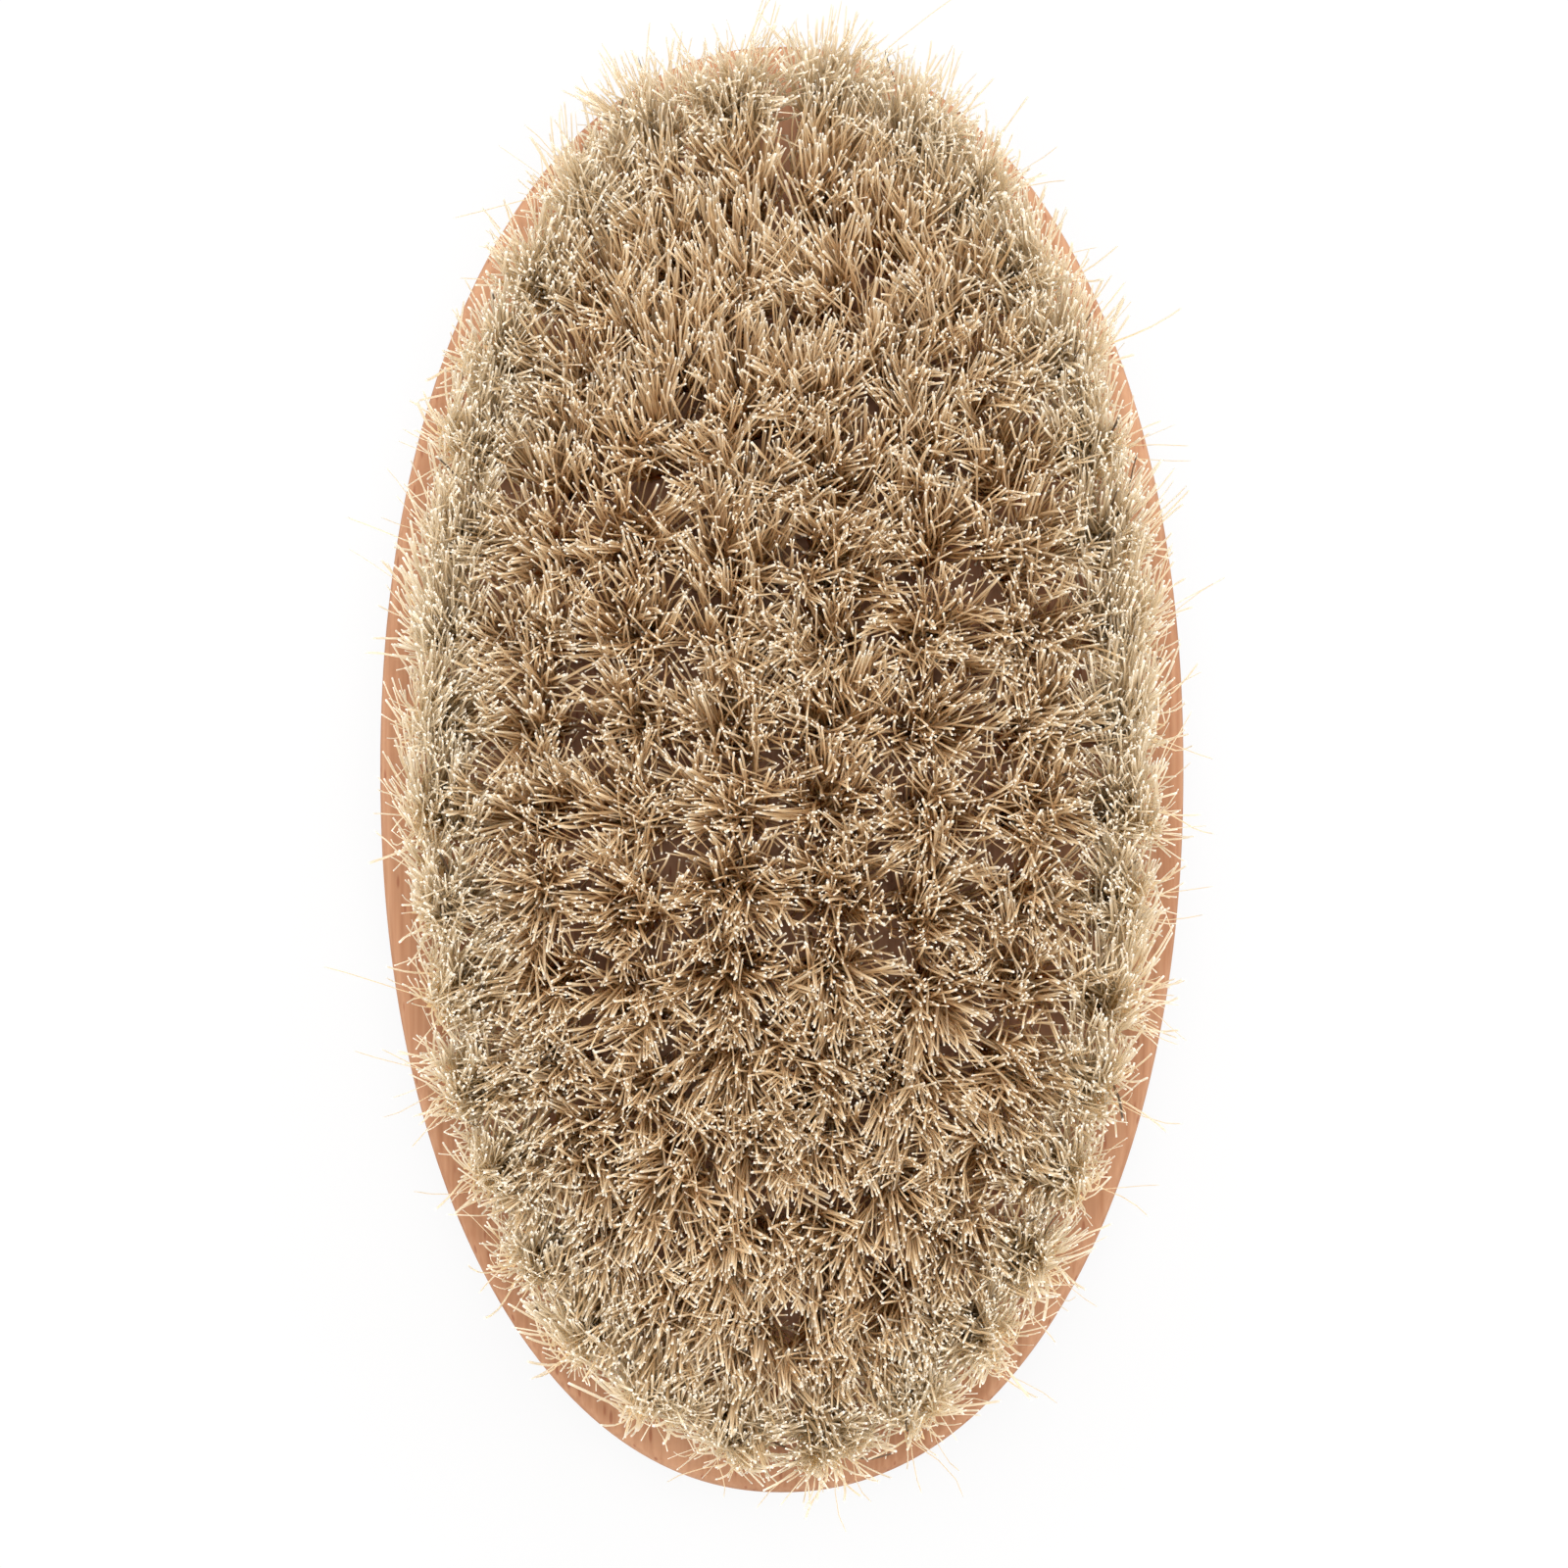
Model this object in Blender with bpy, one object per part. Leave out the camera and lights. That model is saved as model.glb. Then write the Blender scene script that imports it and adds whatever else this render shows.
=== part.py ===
"""Oval shoe brush, lying on its flat back with the bristles up.

Two beech boards are glued together. The face board is drilled in oval rings, and each hole holds a bundle of
bristle folded over a draw wire. The folded ends sit in a bed of glue, in a groove behind the face board.
The long side runs along Y, the width along X, and the origin is at the middle of the flat back.
"""

import math

import bmesh
import bpy
import numpy as np
from mathutils import Matrix, Vector

MM = 0.001

# The wooden block
BLOCK_LENGTH = 135 * MM
BLOCK_WIDTH = 75 * MM
BACK_BOARD_THICKNESS = 10 * MM
FACE_BOARD_THICKNESS = 11.7 * MM
FACE_ARRIS_RADIUS = 1.2 * MM
BACK_EDGE_RADIUS = 7.5 * MM
OUTLINE_EXPONENT = 2.11
OUTLINE_SIDES = 60
FACE_ARRIS_STEPS = 2
BACK_EDGE_STEPS = 4

# The rings of tufts
RING_NAMES = ("outer", "second", "third", "fourth")
RIM_TO_OUTER_RING = 6 * MM
TUFT_PITCH = 8 * MM
LEAST_WALL = 0.8 * MM
RING_BLUNTING_SHARE = 0.25

# One tuft
HOLE_DIAMETER = 4.8 * MM
HOLE_SIDES = 6
BRISTLE_LENGTH = 25 * MM
BUNDLE_PROUD = 0.8 * MM
RING_LEAN = 1.6 * MM
TUFT_SPLAY = 2.2 * MM
TIP_SCATTER = 0.25 * MM
TIP_UNEVENNESS = 0.8 * MM
SCATTER_SEED = 11

# Where a strand bends and ends: its height, its way out to the full splay, and its thickness to its root's
STRAND_SHARES = (
    (0.4, 0.3, 0.42),
    (1, 1, 0.2),
)

# The bed of glue and the draw wires behind the face board
BED_WIDTH = 4.8 * MM
BED_THICKNESS = 1.8 * MM
WIRE_DIAMETER = 0.8 * MM

# Clearances, and the overrun of every cut
SEAT_GAP = 0.3 * MM
BUNDLE_CLEARANCE = 0.3 * MM
CUT_OVERRUN = 1 * MM

# Heights that follow from the sizes above
FACE_BOARD_BACK_Z = BACK_BOARD_THICKNESS + SEAT_GAP
FACE_Z = FACE_BOARD_BACK_Z + FACE_BOARD_THICKNESS
WIRE_Z = BACK_BOARD_THICKNESS + SEAT_GAP + WIRE_DIAMETER / 2
BED_BOTTOM_Z = WIRE_Z + WIRE_DIAMETER / 2 + SEAT_GAP
BED_TOP_Z = BED_BOTTOM_Z + BED_THICKNESS
BED_MIDDLE_Z = (BED_BOTTOM_Z + BED_TOP_Z) / 2
GROOVE_TOP_Z = BED_TOP_Z + SEAT_GAP

RIM_ANGLE = math.radians(45)
SHARP_ANGLE = math.radians(35)
CURVE_SAMPLES = 400

# Which way each quarter of a ring lies: right or left along X, front or rear along Y
QUARTERS = {
    "front_right": (1, 1),
    "front_left": (-1, 1),
    "rear_left": (-1, -1),
    "rear_right": (1, -1),
}


# The scene, the materials and the objects

def clear_scene():
    for thing in list(bpy.context.scene.objects):
        bpy.data.objects.remove(thing, do_unlink=True)


def new_collection(name):
    collection = bpy.data.collections.new(name)
    bpy.context.scene.collection.children.link(collection)
    return collection


def new_material(name, colour, roughness, metallic):
    material = bpy.data.materials.new(name)
    material.use_nodes = True
    shader = material.node_tree.nodes["Principled BSDF"]
    shader.inputs["Base Color"].default_value = (*colour, 1)
    shader.inputs["Roughness"].default_value = roughness
    shader.inputs["Metallic"].default_value = metallic
    material.diffuse_color = (*colour, 1)
    return material


def new_object(name, data, material, collection):
    data.materials.append(material)
    thing = bpy.data.objects.new(name, data)
    collection.objects.link(thing)
    return thing


def mesh_object(name, bm, material, collection):
    bmesh.ops.recalc_face_normals(bm, faces=bm.faces[:])
    mesh = bpy.data.meshes.new(name)
    bm.to_mesh(mesh)
    bm.free()
    mesh.shade_smooth()
    mesh.set_sharp_from_angle(angle=SHARP_ANGLE)
    return new_object(name, mesh, material, collection)


def as_cutter(thing):
    thing.hide_render = True
    thing.display_type = "WIRE"
    return thing


def boolean(thing, other, operation):
    modifier = thing.modifiers.new(f"{operation.title()} {other.name}", "BOOLEAN")
    modifier.operation = operation
    modifier.solver = "EXACT"
    modifier.object = other


def extrude_up(bm, height):
    grown = bmesh.ops.extrude_face_region(bm, geom=bm.faces[:])
    upper = [part for part in grown["geom"] if isinstance(part, bmesh.types.BMVert)]
    bmesh.ops.translate(bm, verts=upper, vec=(0, 0, height))


# The ovals that the block and its rings of tufts follow

class Oval:
    """A superellipse. A turn of 0 is its right end, on X, and a quarter turn its front end, on Y."""

    def __init__(self, half_width, half_length, exponent):
        self.half_width = half_width
        self.half_length = half_length
        self.exponent = exponent

    def point(self, turn):
        power = 2 / self.exponent
        x, y = math.cos(turn), math.sin(turn)
        return Vector((
            math.copysign(abs(x) ** power, x) * self.half_width,
            math.copysign(abs(y) ** power, y) * self.half_length,
            0,
        ))

    def even_turns(self, pitch):
        """The turns of a quarter's even steps, about a pitch long, with a half step left at each end."""
        turns = np.linspace(0, math.pi / 2, CURVE_SAMPLES)
        points = np.array([self.point(turn) for turn in turns])
        steps = np.linalg.norm(np.diff(points, axis=0), axis=1)
        run = np.concatenate(([0], np.cumsum(steps)))
        count = max(1, round(run[-1] / pitch))
        middles = (np.arange(count) + 0.5) / count * run[-1]
        return [float(turn) for turn in np.interp(middles, run, turns)]

    def turn_at(self, x):
        """The turn of a quarter at this distance from the long axis."""
        return math.acos((x / self.half_width) ** (self.exponent / 2))


class Ring:
    """One oval ring of tufts, which leans outwards from its feet in the bed to its mouths in the face."""

    def __init__(self, number, half_width, half_length, lean):
        exponent = OUTLINE_EXPONENT + RING_BLUNTING_SHARE * number ** 2
        foot_shift = lean * (FACE_Z - BED_MIDDLE_Z) / BRISTLE_LENGTH
        self.name = RING_NAMES[number]
        self.face = Oval(half_width, half_length, exponent)
        self.foot = Oval(half_width - foot_shift, half_length - foot_shift, exponent)
        # The two tufts beside each other at an end keep wood between their holes.
        last_turn = self.face.turn_at((HOLE_DIAMETER + LEAST_WALL) / 2)
        self.turns = [min(turn, last_turn) for turn in self.face.even_turns(TUFT_PITCH)]

    def quarter_path(self, sides):
        """The points of a quarter at its foot, from its end on X to its end on Y."""
        flip = Vector((*sides, 1))
        return [self.foot.point(turn) * flip for turn in (0, *self.turns, math.pi / 2)]

    def loop_path(self):
        """The points of the whole ring at its foot, once round."""
        path = []
        for sides in QUARTERS.values():
            quarter = self.quarter_path(sides)
            if sides[0] != sides[1]:
                quarter.reverse()
            path.extend(quarter[:-1])
        return path

    def tufts(self, sides):
        """The foot and the mouth of each tuft in a quarter."""
        flip = Vector((*sides, 1))
        for turn in self.turns:
            foot = self.foot.point(turn) * flip
            mouth = self.face.point(turn) * flip
            foot.z = BED_MIDDLE_Z
            mouth.z = FACE_Z
            yield foot, mouth


def make_rings():
    """The rings, evenly spaced from the outer one to two rows that lie half a step off the long axis."""
    outer_half_width = BLOCK_WIDTH / 2 - RIM_TO_OUTER_RING
    outer_half_length = BLOCK_LENGTH / 2 - RIM_TO_OUTER_RING
    pitch = outer_half_width / (len(RING_NAMES) - 0.5)
    rings = []
    for number in range(len(RING_NAMES)):
        half_width = outer_half_width - pitch * number
        half_length = outer_half_length - pitch * number
        rings.append(Ring(number, half_width, half_length, RING_LEAN * half_width / outer_half_width))
    return rings


def offset_path(path, distance, closed):
    """A path moved outwards. An open one is a quarter, whose ends lie on X and Y and move along them."""
    moved = []
    last = len(path) - 1
    for index, point in enumerate(path):
        if closed or 0 < index < last:
            along = path[(index + 1) % len(path)] - path[index - 1]
            outward = Vector((along.y, -along.x, 0))
            if outward.dot(point) < 0:
                outward.negate()
        elif index == 0:
            outward = Vector((point.x, 0, 0))
        else:
            outward = Vector((0, point.y, 0))
        moved.append(point + outward.normalized() * distance)
    return moved


# The two boards of the block

def round_rim(bm, middle_z, above, radius, steps):
    """Round the sharp rim of a board above or below its middle height."""
    rim = [
        edge for edge in bm.edges
        if edge.calc_face_angle() > RIM_ANGLE and all((vert.co.z > middle_z) == above for vert in edge.verts)
    ]
    bmesh.ops.bevel(bm, geom=rim, offset=radius, segments=steps, profile=0.5, affect="EDGES")


def oval_board(bottom_z, thickness):
    """A square-edged board with the block's outline."""
    outline = Oval(BLOCK_WIDTH / 2, BLOCK_LENGTH / 2, OUTLINE_EXPONENT)
    bm = bmesh.new()
    bmesh.ops.create_circle(bm, cap_ends=True, segments=OUTLINE_SIDES, radius=BLOCK_WIDTH / 2)
    for vert in bm.verts:
        vert.co = outline.point(math.atan2(vert.co.y, vert.co.x))
        vert.co.z = bottom_z
    extrude_up(bm, thickness)
    return bm


def make_back_board(material, collection):
    bm = oval_board(0, BACK_BOARD_THICKNESS)
    round_rim(bm, BACK_BOARD_THICKNESS / 2, False, BACK_EDGE_RADIUS, BACK_EDGE_STEPS)
    return mesh_object("back_board", bm, material, collection)


def make_face_board(rings, material, collection, cutters):
    bm = oval_board(FACE_BOARD_BACK_Z, FACE_BOARD_THICKNESS)
    round_rim(bm, (FACE_BOARD_BACK_Z + FACE_Z) / 2, True, FACE_ARRIS_RADIUS, FACE_ARRIS_STEPS)
    board = mesh_object("face_board", bm, material, collection)
    for ring in rings:
        boolean(board, groove_cutter(ring, material, cutters), "DIFFERENCE")
    boolean(board, hole_cutter(rings, material, cutters), "DIFFERENCE")
    return board


def groove_cutter(ring, material, cutters):
    """A closed band along a ring, which cuts the groove for its bed and its wire."""
    path = ring.loop_path()
    half_width = BED_WIDTH / 2 + SEAT_GAP
    bottom_z = FACE_BOARD_BACK_Z - CUT_OVERRUN
    bm = bmesh.new()
    for side in (-half_width, half_width):
        circle = bmesh.ops.create_circle(bm, segments=len(path), radius=half_width)["verts"]
        for vert, point in zip(circle, offset_path(path, side, closed=True)):
            vert.co = (point.x, point.y, bottom_z)
    bmesh.ops.bridge_loops(bm, edges=bm.edges[:])
    extrude_up(bm, GROOVE_TOP_Z - bottom_z)
    return as_cutter(mesh_object(f"groove_cut_{ring.name}", bm, material, cutters))


def hole_cutter(rings, material, cutters):
    """All the drilled holes, slanted as their tufts lean."""
    bm = bmesh.new()
    for ring in rings:
        for sides in QUARTERS.values():
            for foot, mouth in ring.tufts(sides):
                lean = lean_of(foot, mouth)
                low = foot + lean * (FACE_BOARD_BACK_Z - CUT_OVERRUN - foot.z)
                high = mouth + lean * CUT_OVERRUN
                add_bar(bm, low, high, HOLE_DIAMETER / 2)
    return as_cutter(mesh_object("tuft_holes_cut", bm, material, cutters))


# The draw wires, the beds of glue and the tufts

def lean_of(foot, mouth):
    """The way along a tuft for each unit of height."""
    along = mouth - foot
    return along / along.z


def add_bar(bm, low, high, radius):
    """A straight bar between two points, with as many sides as a hole."""
    along = high - low
    upright = Vector((0, 0, 1))
    turned = upright.rotation_difference(along).to_matrix().to_4x4()
    made = bmesh.ops.create_cone(
        bm, cap_ends=True, segments=HOLE_SIDES, radius1=radius, radius2=radius,
        depth=along.length, matrix=Matrix.Translation((low + high) / 2) @ turned,
    )
    return made["verts"]


def make_draw_wire(ring, material, collection):
    curve = bpy.data.curves.new(f"draw_wire_{ring.name}", "CURVE")
    curve.dimensions = "3D"
    curve.bevel_depth = WIRE_DIAMETER / 2
    curve.bevel_resolution = 2
    path = ring.loop_path()
    spline = curve.splines.new("POLY")
    spline.points.add(len(path) - 1)
    for knot, point in zip(spline.points, path):
        knot.co = (point.x, point.y, WIRE_Z, 1)
    spline.use_cyclic_u = True
    return new_object(curve.name, curve, material, collection)


def make_bed(ring, quarter, sides, material, cutters):
    """The strip of glue that joins the folded ends of a quarter's tufts."""
    path = ring.quarter_path(sides)
    path[0].y += sides[1] * SEAT_GAP / 2
    path[-1].x += sides[0] * SEAT_GAP / 2
    inner = offset_path(path, -BED_WIDTH / 2, closed=False)
    outer = offset_path(path, BED_WIDTH / 2, closed=False)
    bm = bmesh.new()
    grid = bmesh.ops.create_grid(bm, x_segments=len(path) - 1, y_segments=1, size=BED_WIDTH)["verts"]
    grid.sort(key=lambda vert: (vert.co.y, vert.co.x))
    for vert, point in zip(grid, inner + outer):
        vert.co = (point.x, point.y, BED_BOTTOM_Z)
    extrude_up(bm, BED_THICKNESS)
    return as_cutter(mesh_object(f"{ring.name}_bed_{quarter}", bm, material, cutters))


def grow_strands(bm, top, mouth, lean, chance):
    """A strand out of every other sector of a bundle's end, bent once and drawn to a thin tip."""
    heart = mouth + lean * BUNDLE_PROUD
    sectors = bmesh.ops.poke(bm, faces=[top])["faces"]
    sectors.sort(key=lambda face: math.atan2(*(face.calc_center_median() - heart).yx))
    for face in sectors[::2]:
        outward = face.calc_center_median() - heart
        root_reach = outward.length
        outward.normalize()
        length = BRISTLE_LENGTH + chance.uniform(-TIP_UNEVENNESS, TIP_UNEVENNESS)
        scatter = Vector((*chance.uniform(-TIP_SCATTER, TIP_SCATTER, 2), 0))
        thickness = 1
        for height_share, splay_share, thickness_share in STRAND_SHARES:
            reach = root_reach + (TUFT_SPLAY - root_reach) * splay_share
            place = mouth + lean * length * height_share + outward * reach + scatter * splay_share
            face = bmesh.ops.extrude_discrete_faces(bm, faces=[face])["faces"][0]
            centre = face.calc_center_median()
            for vert in face.verts:
                vert.co = place + (vert.co - centre) * thickness_share / thickness
            thickness = thickness_share


def make_tufts(ring, quarter, sides, material, collection, cutters, chance):
    """A quarter of a ring: its bundles and strands, fused to the bed that they stand in."""
    radius = HOLE_DIAMETER / 2 - BUNDLE_CLEARANCE / math.cos(math.pi / HOLE_SIDES)
    bm = bmesh.new()
    for foot, mouth in ring.tufts(sides):
        lean = lean_of(foot, mouth)
        verts = add_bar(bm, foot, mouth + lean * BUNDLE_PROUD, radius)
        faces = {face for vert in verts for face in vert.link_faces}
        top = max(faces, key=lambda face: face.calc_center_median().z)
        grow_strands(bm, top, mouth, lean, chance)
    tufts = mesh_object(f"{ring.name}_tufts_{quarter}", bm, material, collection)
    boolean(tufts, make_bed(ring, quarter, sides, material, cutters), "UNION")
    return tufts


def main():
    clear_scene()
    brush = new_collection("shoe_brush")
    cutters = new_collection("cutters")
    face_wood = new_material("Beech face", (0.62, 0.34, 0.21), 0.55, 0)
    back_wood = new_material("Beech back", (0.60, 0.33, 0.20), 0.5, 0)
    cream_bristle = new_material("Cream bristle", (0.74, 0.62, 0.43), 0.6, 0)
    tan_bristle = new_material("Tan bristle", (0.55, 0.42, 0.25), 0.6, 0)
    steel = new_material("Draw wire", (0.55, 0.55, 0.56), 0.35, 1)
    chance = np.random.default_rng(SCATTER_SEED)
    rings = make_rings()
    make_back_board(back_wood, brush)
    make_face_board(rings, face_wood, brush, cutters)
    for ring in rings:
        bristle = cream_bristle if ring is rings[0] else tan_bristle
        make_draw_wire(ring, steel, brush)
        for quarter, sides in QUARTERS.items():
            make_tufts(ring, quarter, sides, bristle, brush, cutters, chance)
    tuft_count = sum(len(ring.turns) * len(QUARTERS) for ring in rings)
    print(f"{len(rings)} rings, {tuft_count} tufts, {tuft_count * HOLE_SIDES // 2} strands")


main()
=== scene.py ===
# %% [markdown]
# # An oval shoe brush of beech and natural bristle
#
# The brush lies on its back with its bristles up, and we look straight down on it. Its solids are already
# packed at their real size, so this script loads them as a fixed frame and dresses them: two beech boards with
# a fine surface, the glue line between them, and about thirty-seven thousand bristles instead of a few hundred
# thick strands. Every piece rides on the body called root, because nothing on a brush turns or slides.

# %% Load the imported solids
import math

import bmesh
import bpy
import numpy as np
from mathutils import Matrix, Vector


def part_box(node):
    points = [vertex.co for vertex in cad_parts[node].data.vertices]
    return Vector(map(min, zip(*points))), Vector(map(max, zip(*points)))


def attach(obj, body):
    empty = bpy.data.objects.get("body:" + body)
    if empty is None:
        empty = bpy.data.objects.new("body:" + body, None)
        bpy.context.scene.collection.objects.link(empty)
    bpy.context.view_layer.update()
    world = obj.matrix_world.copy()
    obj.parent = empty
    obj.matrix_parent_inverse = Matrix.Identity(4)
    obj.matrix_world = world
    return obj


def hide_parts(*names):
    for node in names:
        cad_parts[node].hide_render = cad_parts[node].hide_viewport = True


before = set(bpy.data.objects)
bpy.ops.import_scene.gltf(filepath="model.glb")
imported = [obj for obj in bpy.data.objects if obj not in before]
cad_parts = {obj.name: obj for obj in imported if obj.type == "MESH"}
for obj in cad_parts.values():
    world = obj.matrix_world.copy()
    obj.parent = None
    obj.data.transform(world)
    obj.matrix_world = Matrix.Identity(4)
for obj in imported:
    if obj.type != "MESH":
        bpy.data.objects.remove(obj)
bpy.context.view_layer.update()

# %% [markdown]
# ## Sizes
#
# Whatever the solids can tell us is read from them, so the fine pieces fit without any fitting: the outline
# of the block and the heights of its two boards. Typing the same numbers again would work too, until someone
# changes the solids.

# %% Read the block's sizes from the solids
MM = 0.001

back_low, back_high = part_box("back_board")
face_low, face_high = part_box("face_board")
HALF_WIDTH = (face_high.x - face_low.x) / 2
HALF_LENGTH = (face_high.y - face_low.y) / 2
FACE_Z = face_high.z
SEAM_BOTTOM_Z, SEAM_TOP_Z = back_high.z, face_low.z
print("block", round(2 * HALF_WIDTH / MM, 1), "by", round(2 * HALF_LENGTH / MM, 1), "mm")
print("its face is", round(FACE_Z / MM, 1), "mm above the flat of its back")

# %% [markdown]
# ## Small helpers for materials
#
# Colours are written the way a paint chart or a web page gives them, as hex values in sRGB. Blender's sockets
# want linear light, so one function turns them round. A second one adds a node, fills in its settings and
# makes its links, which keeps each material below short enough to read in one go. A third one puts colours on
# a ramp, which turns a number into a colour.

# %% Colours and nodes
def linear(colour_hex):
    """An sRGB hex colour as the linear RGBA that Blender's sockets expect, by the formula of the standard."""
    channels = [int(colour_hex[i:i + 2], 16) / 255 for i in (1, 3, 5)]
    light = [c / 12.92 if c <= 0.04045 else ((c + 0.055) / 1.055) ** 2.4 for c in channels]
    return (*light, 1.0)


def add(owner, kind, settings=(), **inputs):
    """Add a node to a material or a world. settings are its own properties.

    An input is called by its socket's name, or by i0, i1 and so on where sockets share a name. It is a value
    or another node's output.
    """
    node = owner.node_tree.nodes.new("ShaderNode" + kind)
    for name, value in dict(settings).items():
        setattr(node, name, value)
    for name, value in inputs.items():
        by_place = name[0] == "i" and name[1:].isdigit()
        socket = node.inputs[int(name[1:]) if by_place else name.replace("_", " ")]
        if isinstance(value, bpy.types.NodeSocket):
            owner.node_tree.links.new(value, socket)
        else:
            socket.default_value = value
    return node


def new_material(name):
    """A material that has no nodes yet."""
    material = bpy.data.materials.new(name)
    material.use_nodes = True
    material.node_tree.nodes.clear()
    return material


def fill_ramp(ramp, stops):
    """Set a colour ramp's stops from pairs of position and hex colour."""
    while len(ramp.elements) > 1:
        ramp.elements.remove(ramp.elements[-1])
    ramp.elements[0].position, ramp.elements[0].color = stops[0][0], linear(stops[0][1])
    for position, colour_hex in stops[1:]:
        ramp.elements.new(position).color = linear(colour_hex)


print("half of full sRGB is only", round(linear("#808080")[0], 2), "of full light")

# %% [markdown]
# ## Steamed beech, sanded and oiled
#
# The block is beech. Steaming turns its pale wood an even pinkish tan, and sanding and a little oil leave it
# smooth but not shiny. Its signs are fine fibres that run lengthwise, and the short dark flecks of its rays,
# about 1.3 mm long and 0.3 mm wide. An image of wood would need a photograph and seams. Noise stretched along
# the grain gives the same signs at any size, on the face and on the rim alike, because it is read in three
# dimensions.
#
# - The fibres and the slow bands tint the wood a little, so that the eye reads grain and not paint.
# - The flecks come from a cell pattern, squeezed across the grain. Only the middle of each cell is dark.
# - The surface scatters light widely, as oiled wood does: its roughness is 0.6 to 0.72, and its gloss is low.

# %% Make the beech
FIBRE_WIDTH, FIBRE_LENGTH = 0.5 * MM, 22 * MM
BAND_WIDTH, BAND_LENGTH = 7 * MM, 110 * MM
FIBRE_SHARE = 0.55                       # of the tone. The bands give the rest.
TONE_PLACES = (0.36, 0.48, 0.62)         # where the dark, the middle and the light tone stand on the ramp
FIBRE_RELIEF = 0.06 * MM
BEECH_ROUGHNESS = (0.6, 0.72)
FLECK_SPACING_ACROSS, FLECK_SPACING_ALONG = 0.95 * MM, 4.2 * MM
FLECK_CORE, FLECK_EDGE = 0.10, 0.22      # in cells from its middle: darkest up to here, and gone from here
FLECK_STRENGTH = 0.75
FLECK_BROWN = "#85523A"


def along_grain(material, across, along):
    """Object coordinates squeezed so that one unit is this far across the grain and this far along it."""
    place = add(material, "TexCoord").outputs["Object"]
    squeeze = (1 / across, 1 / along, 1 / across)
    return add(material, "VectorMath", {"operation": "MULTIPLY"}, i0=place, i1=squeeze).outputs[0]


def make_beech(name, light, middle, dark):
    """Beech in three tones, from its pale bands to its dark fibres."""
    beech = new_material(name)
    bands = add(beech, "TexNoise", Vector=along_grain(beech, BAND_WIDTH, BAND_LENGTH), Scale=1.0, Detail=2.0)
    fibres = add(beech, "TexNoise", Vector=along_grain(beech, FIBRE_WIDTH, FIBRE_LENGTH), Scale=1.0, Detail=4.0)
    tone = add(beech, "Mix", i0=FIBRE_SHARE, i2=bands.outputs[0], i3=fibres.outputs[0])
    colour = add(beech, "ValToRGB", Fac=tone.outputs[0])
    fill_ramp(colour.color_ramp, tuple(zip(TONE_PLACES, (dark, middle, light))))
    cells = along_grain(beech, FLECK_SPACING_ACROSS, FLECK_SPACING_ALONG)
    rays = add(beech, "TexVoronoi", {"feature": "F1"}, Vector=cells, Scale=1.0)
    fleck = add(beech, "MapRange", {"interpolation_type": "SMOOTHSTEP"}, Value=rays.outputs["Distance"],
                From_Min=FLECK_CORE, From_Max=FLECK_EDGE, To_Min=FLECK_STRENGTH, To_Max=0.0)
    wood = add(beech, "Mix", {"data_type": "RGBA"},
               i0=fleck.outputs[0], i6=colour.outputs[0], i7=linear(FLECK_BROWN))
    relief = add(beech, "Math", {"operation": "SUBTRACT"}, i0=fibres.outputs[0], i1=fleck.outputs[0])
    bump = add(beech, "Bump", Height=relief.outputs[0], Strength=0.25, Distance=FIBRE_RELIEF)
    rough = add(beech, "MapRange", Value=fibres.outputs[0],
                To_Min=BEECH_ROUGHNESS[0], To_Max=BEECH_ROUGHNESS[1])
    shader = add(beech, "BsdfPrincipled", Base_Color=wood.outputs[2], Roughness=rough.outputs[0],
                 IOR=1.5, Specular_IOR_Level=0.12, Normal=bump.outputs[0])
    add(beech, "OutputMaterial", Surface=shader.outputs[0])
    return beech


face_beech = make_beech("steamed_beech_face", "#AC8264", "#A07558", "#94674A")
back_beech = make_beech("steamed_beech_back", "#A97F61", "#9D7255", "#916447")
print("made", face_beech.name, "and", back_beech.name)

# %% [markdown]
# ## The oval
#
# The outline isn't quite an ellipse: it is a little fuller towards its corners. A superellipse says that with
# one number, its exponent, where 2 is an ellipse. The same formula gives the rings that the tufts stand on.

# %% Points on an oval
OUTLINE_EXPONENT = 2.11


def on_oval(half_width, half_length, exponent, turn):
    """Points of a superellipse, as rows of x and y. turn is an angle or an array of them."""
    x, y = np.cos(turn), np.sin(turn)
    return np.stack([
        np.sign(x) * np.abs(x) ** (2 / exponent) * half_width,
        np.sign(y) * np.abs(y) ** (2 / exponent) * half_length,
    ], axis=-1)


eighth = on_oval(HALF_WIDTH, HALF_LENGTH, OUTLINE_EXPONENT, math.pi / 4)
print("an eighth of a turn round, the outline is at", [round(v / MM, 1) for v in eighth.tolist()], "mm")

# %% [markdown]
# ## The block
#
# The block is two boards. Each is cut to the oval, and its outer edge is rounded: hardly at all round the face,
# and widely round the back, which lies in the palm. A flat outline pulled up into a slab and then bevelled is
# how the maker's router does it too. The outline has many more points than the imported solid's, so the rim shows
# no corners.

# %% Cut the boards
BODY = "root"
OUTLINE_POINTS = 240
FACE_ARRIS, FACE_ARRIS_STEPS = 1.2 * MM, 5
BACK_EDGE, BACK_EDGE_STEPS = 7.5 * MM, 12
SAME_HEIGHT = 0.01 * MM                  # heights that differ by less are the same
RIM_ANGLE = math.radians(45)             # the rim turns by more than this, and the outline by much less
SMOOTH_ANGLE = math.radians(32)          # faces that meet at less than this are shaded as one


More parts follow.
